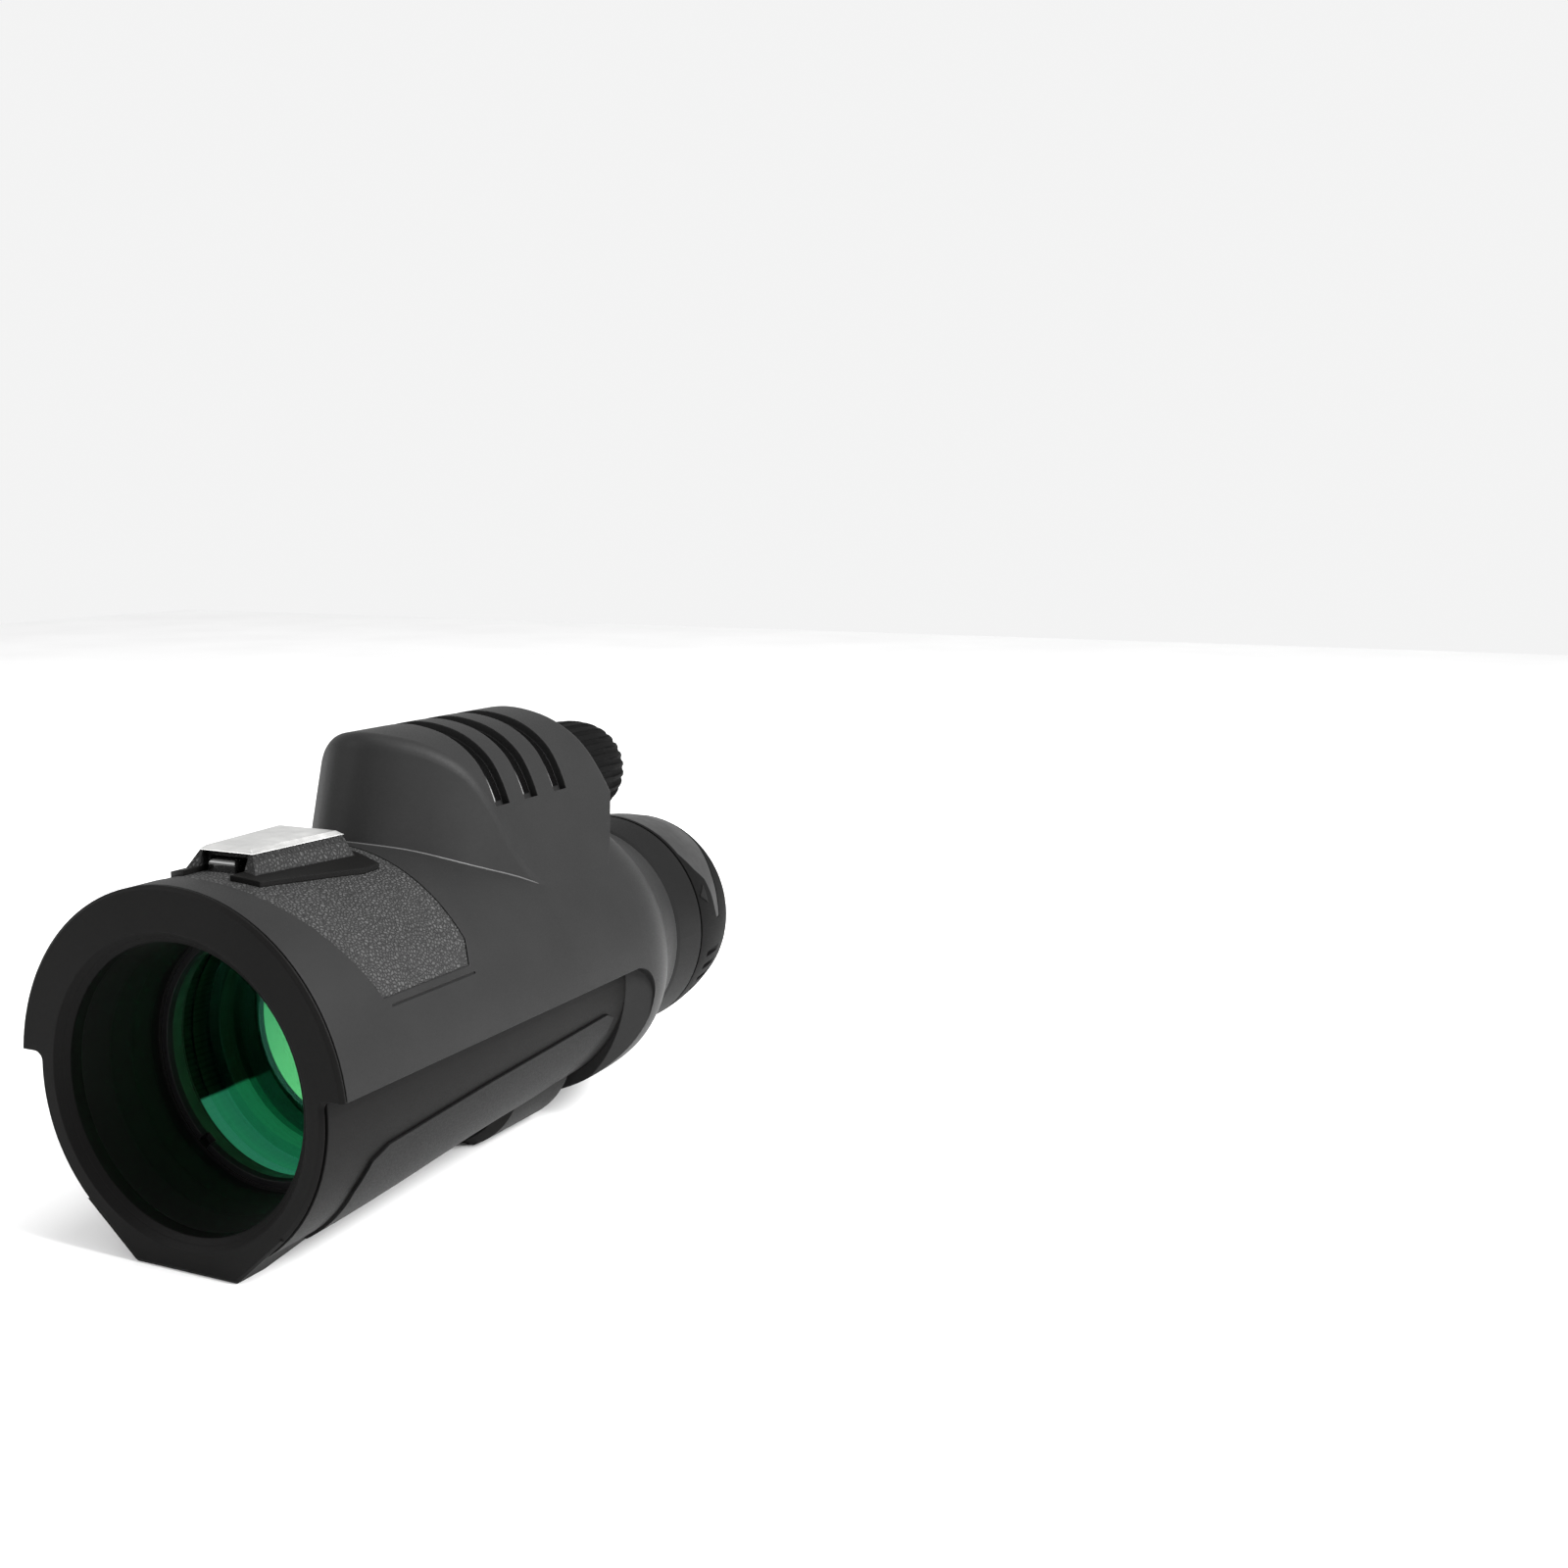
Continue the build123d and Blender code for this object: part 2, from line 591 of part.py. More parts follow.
def focus_screw():
    """The shaft: plain journals, a relieved middle, and a square seat for the knob."""
    outline = [(46.6, 0), (46.6, SHAFT_R - 0.4), (47.0, SHAFT_R), (66.0, SHAFT_R), (67.0, 2.4), (82.0, 2.4)]
    outline += [(83.0, SHAFT_R), (100.6, SHAFT_R), (100.6, 2.2), (114.5, 2.2), (114.5, 0)]
    body = Pos(0, 0, KNOB_Z) * turned(*outline)
    groove = Pos(0, 0, KNOB_Z) * (ring(85.2, 86.0, 4) - ring(80, 90, 2.3))
    thread_hole = Pos(0, 0, KNOB_Z) * ring(108, 120, 0.9)
    return body - groove - thread_hole


def shaft_clip():
    """The spring clip in the shaft's groove, open on one side."""
    body = ring(85.25, 85.95, 4.6, 2.3) - block((-1.7, 1.7), (80, 90), (-6, 0))
    return Pos(0, 0, KNOB_Z) * body


def shaft_bush():
    """The flanged brass bush in the cover's back wall."""
    body = ring(90.0, 95.2, BUSH_R) + ring(88.8, 90.0, BUSH_R + 1.4)
    body = body - ring(0, 130, SHAFT_R + RUNNING) - ring(93.4, 130, SEAL_R)
    return Pos(0, 0, KNOB_Z) * body


def shaft_seal():
    return Pos(0, 0, KNOB_Z) * ring(93.5, 95.0, SEAL_R, SHAFT_R + RUNNING)


def knob_hub():
    """The knob's rigid core."""
    outline = [(KNOB_START_Y, 0), (KNOB_START_Y, 8.6), (112.0, 8.6), (117.6, 7.0), (117.6, 5.6), (116.6, 5.6)]
    outline += [(116.6, 0)]
    body = turned(*outline) - ring(90, 100.6, SHAFT_R) - ring(100, 114.5, 2.2) - ring(114, 118, 0.95)
    return Pos(0, 0, KNOB_Z) * (body - ring(KNOB_START_Y - 1, KNOB_START_Y + 2.2, 7.2, 4.4))


def knob_grip():
    """The rubber sleeve of the knob: a domed barrel with rounded ribs along it."""
    end = Bezier((KNOB_R, 110.5), (KNOB_R, 115.5), (8.9, 119.6), (8.0, 120.4))
    face = make_face(
        Polyline((8.6, KNOB_START_Y), (KNOB_R - 0.4, KNOB_START_Y), (KNOB_R, KNOB_START_Y + 0.4), (KNOB_R, 110.5))
        + end
        + Polyline((8.0, 120.4), (6.0, 120.4), (6.0, 117.6), (7.0, 117.6), (8.6, 112.0), (8.6, KNOB_START_Y))
    )
    body = revolve(face, Axis.Y)
    flutes = None
    for index in range(KNOB_RIBS):
        angle = 360 * index / KNOB_RIBS
        flute = Rot(0, angle, 0) * (Pos(KNOB_R + 0.25, 0, 0) * ring(KNOB_START_Y - 1, 124, 0.75))
        lean = Rot(0, angle, 0) * (Pos(KNOB_R + 0.1, 112, 0) * (Rot(0, 0, 12) * ring(0, 14, 0.75)))
        flute = flute + lean
        flutes = flute if flutes is None else flutes + flute
    return Pos(0, 0, KNOB_Z) * (body - flutes)


def knob_cap():
    """The disc that closes the knob's end and hides its screw."""
    body = ring(117.6, 120.0, 6.0) + ring(120.0, KNOB_END_Y - 0.4, 5.6)
    body = body - ring(117, 118.6, 3.0)
    edge = [edge for edge in body.edges() if edge.center().Y > KNOB_END_Y - 0.5 and edge.length > 5]
    return Pos(0, 0, KNOB_Z) * fillet(edge, 0.4)


def knob_screw():
    body = ring(108.4, 116.7, 0.9) + ring(116.6, 117.9, 2.0)
    return Pos(0, 0, KNOB_Z) * (body - block((-1.5, 1.5), (117.4, 119), (-0.3, 0.3)))


# Prisms

def deviating_prism_face():
    points = [(0, 8.5), (0, -8.5), (21.6, -17.45), (21.6, -13.1)]
    return polygon(*[(PRISM_Y + y, z) for y, z in points])


def roof_prism_face():
    points = [(24.0, -15.0), (5.6, 3.4), (24.0, 11.0)]
    return polygon(*[(PRISM_Y + y, z) for y, z in points])


def deviating_prism():
    return sideways(deviating_prism_face(), 8.6)


def roof_prism():
    """The second prism: its long top face is a roof of two faces at a right angle."""
    body = sideways(roof_prism_face(), 9.2)
    slope = degrees(atan2(7.6, 18.4))
    bar = Rot(slope, 0, 0) * (Rot(0, 45, 0) * Box(40, 90, 40))
    crest = Pos(0, PRISM_Y + 14.8, 7.2) * (Pos(0, 0, -20 * 2 ** 0.5 / cos(radians(slope))) * bar)
    return body & crest


def prism_cage():
    """The moulded tray that seats both prisms, with a light bore at each end."""
    body = ring(66.2, 96.0, BORE_R)
    body = body - sideways(deviating_prism_face(), 8.6) - sideways(roof_prism_face(), 9.2)
    body = body - block((-9.2, 9.2), (72, 92.0), (6.0, 24)) - ring(60, 70, 8.0) - ring(90, 100, 8.4)
    body = body - block((-22, 22), (71.0, 93.0), (12.0, 22))
    for rod in guide_rods():
        body = body - rod
    for x in (-12.6, 12.6):
        body = body - upright(x, 82, 4, 14, 0.9)
    return body


def prism_clip():
    """The spring strip across the tray that presses the prisms down."""
    strip = block((-15.4, 15.4), (78.5, 85.5), (12.0, 12.7))
    for x in (-12.6, 12.6):
        strip = strip - upright(x, 82, 10, 14, 0.95)
    return strip


def prism_screws():
    screws = []
    for x in (-12.6, 12.6):
        screws.append(upright(x, 82, 5, 12.8, 0.9) + upright(x, 82, 12.7, 13.8, 1.8))
    return screws


# Eyepiece

def eyepiece_barrel():
    """The fixed tube of the eyepiece, with two straight keyways outside for the guide ring."""
    outline = [(103, BARREL_R), (BARREL_END_Y, BARREL_R), (BARREL_END_Y, 13.8), (104.6, 13.8), (104.6, 12.0)]
    body = turned(*outline, (103, 12.0))
    for x_low, x_high in ((BARREL_R - 0.95, 20), (-20, -BARREL_R + 0.95)):
        body = body - block((x_low, x_high), (118.4, BARREL_END_Y + 1), (-1.6, 1.6))
    return body


def eyepiece_collar():
    """The fixed collar between body and eyecup; its inward pins guide the eyecup's screw grooves."""
    body = turned(
        (NECK_Y, BARREL_R),
        (NECK_Y, NECK_R),
        (118.2, NECK_R + 0.15),
        (COLLAR_END_Y - 0.3, 22.6),
        (COLLAR_END_Y, 22.3),
        (COLLAR_END_Y, 21.1),
        (117.6, 21.1),
        (117.6, BARREL_R),
    )
    for pin in cam_pins():
        body = body - pin
    return body


def cam_pins():
    pins = []
    for angle in (90, 210, 330):
        pin = Pos(20.95, PIN_Y, 0) * (Rot(0, 90, 0) * Cylinder(0.9, 2.2))
        pins.append(Rot(0, -angle, 0) * pin)
    return pins


def screw_groove(angle):
    """One groove of the eyecup sleeve, from the pin's seat round and forward by the eyecup's lift."""
    steps = 25
    cut = None
    for index in range(steps + 1):
        part_way = index / steps
        turn = angle + SCREW_HAND * EYECUP_TURN * part_way
        y = PIN_Y - EYECUP_LIFT * part_way
        pocket = Pos(20.9, y, 0) * (Rot(0, 90, 0) * Cylinder(1.15, 2.6))
        pocket = Rot(0, -turn, 0) * pocket
        cut = pocket if cut is None else cut + pocket
    return cut


def eyecup_sleeve():
    """The eyecup's inner tube: screw grooves outside, a pocket inside for the guide ring and its clip."""
    body = turned(
        (117.9, BARREL_R + 0.1),
        (117.9, SLEEVE_R),
        (SLEEVE_STEP_Y, SLEEVE_R),
        (SLEEVE_STEP_Y, SLEEVE_BACK_R),
        (143.0, SLEEVE_BACK_R),
        (143.0, 18.45),
        (137.2, 18.45),
        (137.2, 18.9),
        (136.2, 18.9),
        (136.2, 18.45),
        (128.0, 18.45),
        (128.0, BARREL_R + 0.1),
    )
    for angle in (90, 210, 330):
        body = body - screw_groove(angle)
    return body


def guide_ring():
    """The ring that slides on the barrel's keyways and turns inside the eyecup."""
    body = ring(128.1, 136.1, 18.4, BARREL_R + RUNNING)
    key = block((BARREL_R - 0.85, 18.0), (128.1, 136.1), (-1.5, 1.5))
    return body + key + mirror(key, Plane.YZ)


def guide_clip():
    body = ring(136.25, 137.15, 18.9, 17.3)
    return body - block((-1.6, 1.6), (130, 140), (0, 25))


def eyecup_form(outset=0.0):
    """The outside of the eyecup: a slightly tapered drum with a rounded rim."""
    line = Spline(
        (22.6 + outset, EYECUP_START_Y),
        (22.3 + outset, 132.0),
        (21.5 + outset, 137.5),
        (20.6 + outset, 141.5),
        tangents=[(0, 1), (-0.25, 1)],
    )
    rim = Bezier((20.6 + outset, 141.5), (20.1 + outset, 143.6), (18.9, LENGTH + outset), (17.6, LENGTH + outset))
    rest = Polyline(
        (17.6, LENGTH + outset), (0, LENGTH + outset), (0, EYECUP_START_Y), (22.6 + outset, EYECUP_START_Y)
    )
    return revolve(make_face(line + rim + rest), Axis.Y)


def panel_face(inset=0.0):
    """Side outline of the eyecup's light panel: over the top, narrowing to a tip on each side."""
    front = [(128.0, 26), (128.1, 15.6), (130.4, 12.0), (133.0, 9.6), (133.9, 6.4), (134.3, 3.0), (135.0, 1.0)]
    rear = [(136.6, 1.0), (136.9, 4.6), (138.0, 9.6), (139.6, 12.6), (141.2, 15.0), (142.0, 17.6), (142.0, 26)]
    face = polygon(*front, *rear)
    return offset(face, -inset) if inset else face


def eyecup():
    """The rubber eyecup with a rolled rim, the panel's seat and the finger slots on each side."""
    body = eyecup_form() - ring(0, SLEEVE_STEP_Y, SLEEVE_R) - ring(100, 143.0, SLEEVE_BACK_R)
    lip = turned((142, 0), (142, 16.6), (143.6, 15.5), (144.4, 15.7), (LENGTH + 1, 17.2), (LENGTH + 1, 0))
    body = body - lip - ring(140, 143.0, 18.45)
    seat = sideways(panel_face(), 40) & (eyecup_form(1.0) - eyecup_form(-PANEL_DEPTH))
    body = body - seat
    for side in (1, -1):
        for angle in (-16, -24, -32, -40, -48):
            turn = angle if side > 0 else 180 - angle
            slot = Pos(22.3, 134.6, 0) * Box(1.8, 7.0, 1.3)
            body = body - Rot(0, -turn, 0) * slot
    return body - index_mark()


def eyecup_panel():
    return sideways(panel_face(0.12), 40) & (eyecup_form(-0.1) - eyecup_form(-PANEL_DEPTH))


def index_mark():
    """A small arrowhead on the eyecup, just behind the collar."""
    arrow = polygon((128.3, 7.0), (131.0, 8.8), (131.0, 5.2))
    near = extrude(Plane.YZ.offset(5) * arrow, 30)
    return near & (eyecup_form(0.15) - eyecup_form(-0.5))


def eyepiece_lenses():
    return {
        "field_lens": lens(112.6, 115.8, 13.8, 1.4, 1.6),
        "eye_doublet_flint": lens(121.0, 125.4, 13.8, 0.6, -2.2),
        "eye_doublet_crown": lens(125.4, 128.6, 13.8, 2.2, 2.0),
        "eye_lens": lens(133.2, 135.8, 13.8, 1.2, 0.9),
    }


def eyepiece_spacer(start_y, end_y):
    """A spacer tube, hollowed at its ends where the lens faces bulge into it."""
    body = ring(start_y, end_y, 13.8, 12.8)
    for shape in eyepiece_lenses().values():
        body = body - shape
    return body


def eyepiece_retainer():
    body = turned((135.8, 13.8), (138.6, 13.8), (138.6, 12.9), (135.8, 12.2))
    return body - eyepiece_lenses()["eye_lens"]


def save_casing():
    save("front_ring", front_ring())
    save("upper_armour", upper_armour())
    save("lower_armour", lower_armour())
    save("grip_pad_right", grip_pad(1))
    save("grip_pad_left", grip_pad(-1))
    save("top_inlay", top_inlay())
    save("badge_base", badge_base())
    save("badge_block", badge_block() + badge_pins())
    save("badge_plate", badge_plate())
    save("sight_post", sight_post())
    save("main_housing", main_housing())
    save("focus_cover", focus_cover())
    save("cover_screws", *cover_screws())
    save("tripod_bush", tripod_bush())


def save_objective():
    save("objective_cell", objective_cell())
    save("objective_retainer", objective_retainer())
    save("objective_seal", ring(23.0, 23.75, 21.6, 20.9))
    save("objective_crown", lens(24.0, 26.4, 21.6, 1.9, 1.6))
    save("objective_flint", lens(26.4, 30.6, 21.6, -1.6, -0.7))
    save("front_baffle", front_baffle())


def save_focus_drive():
    save("guide_rods", *guide_rods())
    save("focus_lens_cell", focus_lens_cell())
    save("focus_lens", lens(FOCUS_CELL_Y + 2.2, FOCUS_CELL_Y + 5.4, 13.0, -0.9, -0.8))
    save("focus_arm", focus_arm())
    save("arm_screws", *arm_screws())
    save("focus_nut", focus_nut())
    save("front_bearing", front_bearing())
    save("focus_screw", focus_screw())
    save("shaft_clip", shaft_clip())
    save("shaft_bush", shaft_bush())
    save("shaft_seal", shaft_seal())
    save("knob_hub", knob_hub())
    save("knob_grip", knob_grip())
    save("knob_cap", knob_cap())
    save("knob_screw", knob_screw())


def save_prisms():
    save("deviating_prism", deviating_prism())
    save("roof_prism", roof_prism())
    save("prism_cage", prism_cage())
    save("prism_clip", prism_clip())
    save("prism_screws", *prism_screws())


def save_eyepiece():
    save("eyepiece_barrel", eyepiece_barrel())
    save("field_stop", ring(106.0, 107.2, 13.8, 9.6))
    save("field_stop_spacer", eyepiece_spacer(107.2, 112.6))
    save("eyepiece_spacer", eyepiece_spacer(115.8, 121.0))
    save("eye_lens_spacer", eyepiece_spacer(128.6, 133.2))
    save("eyepiece_retainer", eyepiece_retainer())
    for name, shape in eyepiece_lenses().items():
        save(name, shape)
    save("eyepiece_collar", eyepiece_collar())
    save("cam_pins", *cam_pins())
    save("eyecup_sleeve", eyecup_sleeve())
    save("guide_ring", guide_ring())
    save("guide_clip", guide_clip())
    save("eyecup", eyecup())
    save("eyecup_panel", eyecup_panel())
    save("index_mark", index_mark())


def main():
    os.makedirs("parts", exist_ok=True)
    save_casing()
    save_objective()
    save_focus_drive()
    save_prisms()
    save_eyepiece()


if __name__ == "__main__":
    main()
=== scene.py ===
import json
import math

import bmesh
import bpy
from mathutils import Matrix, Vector


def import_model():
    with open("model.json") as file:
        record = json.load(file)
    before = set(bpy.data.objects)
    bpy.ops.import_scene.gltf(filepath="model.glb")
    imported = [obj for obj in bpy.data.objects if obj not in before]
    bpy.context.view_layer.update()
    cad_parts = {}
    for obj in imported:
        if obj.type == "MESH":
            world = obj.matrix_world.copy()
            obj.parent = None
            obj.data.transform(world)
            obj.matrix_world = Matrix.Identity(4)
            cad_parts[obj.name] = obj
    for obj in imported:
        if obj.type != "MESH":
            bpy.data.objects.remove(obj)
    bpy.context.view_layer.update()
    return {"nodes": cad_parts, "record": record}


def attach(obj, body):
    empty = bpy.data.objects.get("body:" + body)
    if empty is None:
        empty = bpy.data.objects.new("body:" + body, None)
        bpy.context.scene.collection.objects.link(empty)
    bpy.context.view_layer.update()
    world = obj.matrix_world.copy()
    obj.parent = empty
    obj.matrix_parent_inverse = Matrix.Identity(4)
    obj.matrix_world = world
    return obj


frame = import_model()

MM = 0.001
nodes = frame["nodes"]

# Places and sizes on the scope, in millimetres

AXIS_Z = 28.5
BODY_R = 32.0
HALF_LENGTH = 72.5
BADGE_BEVEL_Z = 62.3
TUBE_FRONT = 22.0 - HALF_LENGTH

# The three grooves across the hump, painted near black inside as shade, and the painted highlight line at
# each one's lower end
GROOVE_YS = (-10.9, -2.0, 7.5)
GROOVE_END_Z = 65.0
GROOVE_HALF_WIDTH = (1.95, 2.1)
END_HIGHLIGHT_HALF_WIDTH = (0.12, 0.3)
END_HIGHLIGHT_HEIGHT = (1.6, 4.6)

# The crease along the hump's foot: one half in plan, from the nose back, moved back with height by the rake
CREASE_PLAN = [
    (0, 39.6), (3.2, 40.2), (6.2, 41.9), (9, 44.4), (12, 47.4),
    (14.6, 50.4), (16.9, 53.8), (19, 57.8), (21, 62.4), (23.2, 67.5),
]
RAKE = 0.29
RAKE_LEVEL_Z = 31.0
BEAD_R = 0.16

# The blacked edge of the objective, and the second lens group
LENS_EDGE_R = 21.4
INNER_LENS_Y = -33.6
INNER_LENS_DOME = 1.2
INNER_LENS_R = 17.0

# The studio, in metres and degrees
CAMERA_PLACE = (0.19446, -0.26855, 0.11661)
CAMERA_DOWN = 8.89
CAMERA_TURN = 25.34
CAMERA_SENSOR_MM = 36.0
CAMERA_LENS_MM = 41.25
FLOOR_HALF_WIDTH = 1.25
WORLD_STRENGTH = 0.9
LIGHT_TARGET = (0, 0, 0.04)


# Node helpers

class Finish:
    """One procedural material: a principled shader, object coordinates in mm, and short-hand for nodes."""

    def __init__(self, name, rough, metallic=0.0, specular=0.5):
        self.material = bpy.data.materials.new(name)
        self.material.use_nodes = True
        self.tree = self.material.node_tree
        self.tree.nodes.clear()
        self.output = self.node("ShaderNodeOutputMaterial")
        self.shader = self.node("ShaderNodeBsdfPrincipled")
        self.link(self.shader.outputs["BSDF"], self.output.inputs["Surface"])
        self.shader.inputs["Roughness"].default_value = rough
        self.shader.inputs["Metallic"].default_value = metallic
        self.shader.inputs["Specular IOR Level"].default_value = specular
        coordinates = self.node("ShaderNodeTexCoord")
        scale = self.node("ShaderNodeVectorMath", operation="SCALE")
        scale.inputs["Scale"].default_value = 1 / MM
        self.link(coordinates.outputs["Object"], scale.inputs[0])
        self.place = scale.outputs["Vector"]
        self.normal = None

    def link(self, source, target):
        self.tree.links.new(source, target)

    def node(self, kind, **settings):
        made = self.tree.nodes.new(kind)
        for key, value in settings.items():
            setattr(made, key, value)
        return made

    def along(self, axis):
        """One of the object coordinates."""
        made = self.node("ShaderNodeSeparateXYZ")
        self.link(self.place, made.inputs[0])
        return made.outputs[axis]

    def stretched(self, x, y, z):
        """Object coordinates scaled along each axis."""
        made = self.node("ShaderNodeVectorMath", operation="MULTIPLY")
        self.link(self.place, made.inputs[0])
        made.inputs[1].default_value = (x, y, z)
        return made.outputs["Vector"]

    def noise(self, size_mm, detail=3.0, roughness=0.5, vector=None):
        made = self.node("ShaderNodeTexNoise")
        made.inputs["Scale"].default_value = 1 / size_mm
        made.inputs["Detail"].default_value = detail
        made.inputs["Roughness"].default_value = roughness
        self.link(vector or self.place, made.inputs["Vector"])
        return made.outputs["Fac"]

    def cells(self, size_mm, feature, output, vector):
        made = self.node("ShaderNodeTexVoronoi", feature=feature)
        made.inputs["Scale"].default_value = 1 / size_mm
        self.link(vector, made.inputs["Vector"])
        return made.outputs[output]

    def ranged(self, value, low, high, to_low=0.0, to_high=1.0):
        made = self.node("ShaderNodeMapRange", clamp=True)
        self.link(value, made.inputs["Value"])
        made.inputs["From Min"].default_value = low
        made.inputs["From Max"].default_value = high
        made.inputs["To Min"].default_value = to_low
        made.inputs["To Max"].default_value = to_high
        return made.outputs["Result"]

    def maths(self, operation, first, second=0.0):
        """An operation on two values, each a number or a socket."""
        made = self.node("ShaderNodeMath", operation=operation)
        for index, value in enumerate((first, second)):
            if isinstance(value, (int, float)):
                made.inputs[index].default_value = value
            else:
                self.link(value, made.inputs[index])
        return made.outputs["Value"]

    def mixed(self, factor, first, second):
        """A colour mixed from two colours, each a tuple or a socket."""
        made = self.node("ShaderNodeMix", data_type="RGBA")
        self.link(factor, made.inputs[0])
        for index, value in ((6, first), (7, second)):
            if isinstance(value, tuple):
                made.inputs[index].default_value = (*value, 1.0)
            else:
                self.link(value, made.inputs[index])
        return made.outputs[2]

    def stripes(self, value, middles, half_width):
        """1 near each of the middles, fading to 0 between the two half widths."""
        total = 0.0
        for middle in middles:
            away = self.maths("ABSOLUTE", self.maths("SUBTRACT", value, middle))
            total = self.maths("ADD", self.ranged(away, *half_width, 1.0, 0.0), total)
        return total

    def bump(self, height, depth_mm, strength):
        made = self.node("ShaderNodeBump")
        made.inputs["Strength"].default_value = strength
        made.inputs["Distance"].default_value = depth_mm * MM
        self.link(height, made.inputs["Height"])
        if self.normal is not None:
            self.link(self.normal, made.inputs["Normal"])
        self.normal = made.outputs["Normal"]

    def rounded_edges(self, radius_mm):
        """A soft highlight on each edge."""
        made = self.node("ShaderNodeBevel", samples=4)
        made.inputs["Radius"].default_value = radius_mm * MM
        self.normal = made.outputs["Normal"]

    def edge_mask(self, radius_mm, gain):
        """0 on faces and up to 1 on sharp edges."""
        bevel = self.node("ShaderNodeBevel", samples=4)
        bevel.inputs["Radius"].default_value = radius_mm * MM
        geometry = self.node("ShaderNodeNewGeometry")
        dot = self.node("ShaderNodeVectorMath", operation="DOT_PRODUCT")
        self.link(bevel.outputs["Normal"], dot.inputs[0])
        self.link(geometry.outputs["Normal"], dot.inputs[1])
        turned = self.maths("SUBTRACT", 1.0, dot.outputs["Value"])
        return self.ranged(turned, 0.0, 1.0 / gain)

    def done(self, colour, rough=None):
        if isinstance(colour, tuple):
            self.shader.inputs["Base Color"].default_value = (*colour, 1.0)
        else:
            self.link(colour, self.shader.inputs["Base Color"])
        if rough is not None:
            self.link(rough, self.shader.inputs["Roughness"])
        if self.normal is not None:
            self.link(self.normal, self.shader.inputs["Normal"])
        return self.material


def grey(value, warm=0.0):
    return (value * (1 + warm), value, value * (1 - warm))


def scaled(colour, factor):
    return tuple(c * factor for c in colour)


# Finishes

def rubber_parts(name, value, rough=0.5, grain_mm=0.22, depth_mm=0.012, edge=0.3, specular=0.28, warm=0.0):
    """Soft-touch moulded rubber: a fine spark-eroded grain, faint mottling, and edges lightened partly as
    rubbed wear and partly as a painted highlight.
    """
    f = Finish(name, rough, specular=specular)
    f.rounded_edges(0.3)
    broad = f.noise(14, 3, 0.55)
    fine = f.noise(grain_mm, 2, 0.6)
    tone = f.mixed(f.ranged(broad, 0.3, 0.7), grey(value * 0.88, warm), grey(value * 1.12, warm))
    speck = f.ranged(f.noise(0.5, 2, 0.5), 0.3, 0.7)
    tone = f.mixed(f.maths("MULTIPLY", speck, 0.3), tone, grey(value * 1.35, warm))
    # Lighter edges, broken up by noise: partly rubbed wear, partly a painted highlight.
    edge_patchiness = f.ranged(f.noise(3.5, 4), 0.3, 0.6, 0.45, 1.0)
    wear_and_highlight = f.maths("MULTIPLY", f.edge_mask(0.3, 1.6), edge_patchiness)
    tone = f.mixed(f.maths("MULTIPLY", wear_and_highlight, edge), tone, grey(value * 5.0))
    f.bump(fine, depth_mm, 0.5)
    f.bump(f.noise(1.6, 2, 0.5), depth_mm * 1.3, 0.25)
    return f, tone, f.ranged(fine, 0.25, 0.75, rough - 0.07, rough + 0.1)


def rubber(name, value, **settings):
    f, tone, rough = rubber_parts(name, value, **settings)
    return f.done(tone, rough)


def grooved_rubber(name, value):
    """The armour's rubber, with painted shade in the hump's grooves, near black and glossier, and a painted
    highlight line at their ends.
    """
    f, tone, rough = rubber_parts(name, value, specular=0.1)
    above = f.ranged(f.along("Z"), GROOVE_END_Z, GROOVE_END_Z + 0.3)
    groove_painted_shade = f.maths("MULTIPLY", f.stripes(f.along("Y"), GROOVE_YS, GROOVE_HALF_WIDTH), above)
    low, high = (GROOVE_END_Z + height for height in END_HIGHLIGHT_HEIGHT)
    end_painted_highlight = f.stripes(f.along("Y"), GROOVE_YS, END_HIGHLIGHT_HALF_WIDTH)
    end_painted_highlight = f.maths("MULTIPLY", end_painted_highlight, f.ranged(f.along("Z"), low, high, 1.0, 0.0))
    end_painted_highlight = f.maths("MULTIPLY", end_painted_highlight, above)
    # Painted shade: the grooves near black.
    tone = f.mixed(groove_painted_shade, tone, grey(0.002))
    # Painted highlight: a pale line at each groove's lower end.
    tone = f.mixed(f.maths("MULTIPLY", end_painted_highlight, 0.6), tone, grey(0.3))
    rough = f.maths("SUBTRACT", rough, f.maths("MULTIPLY", groove_painted_shade, 0.3))
    return f.done(tone, rough)


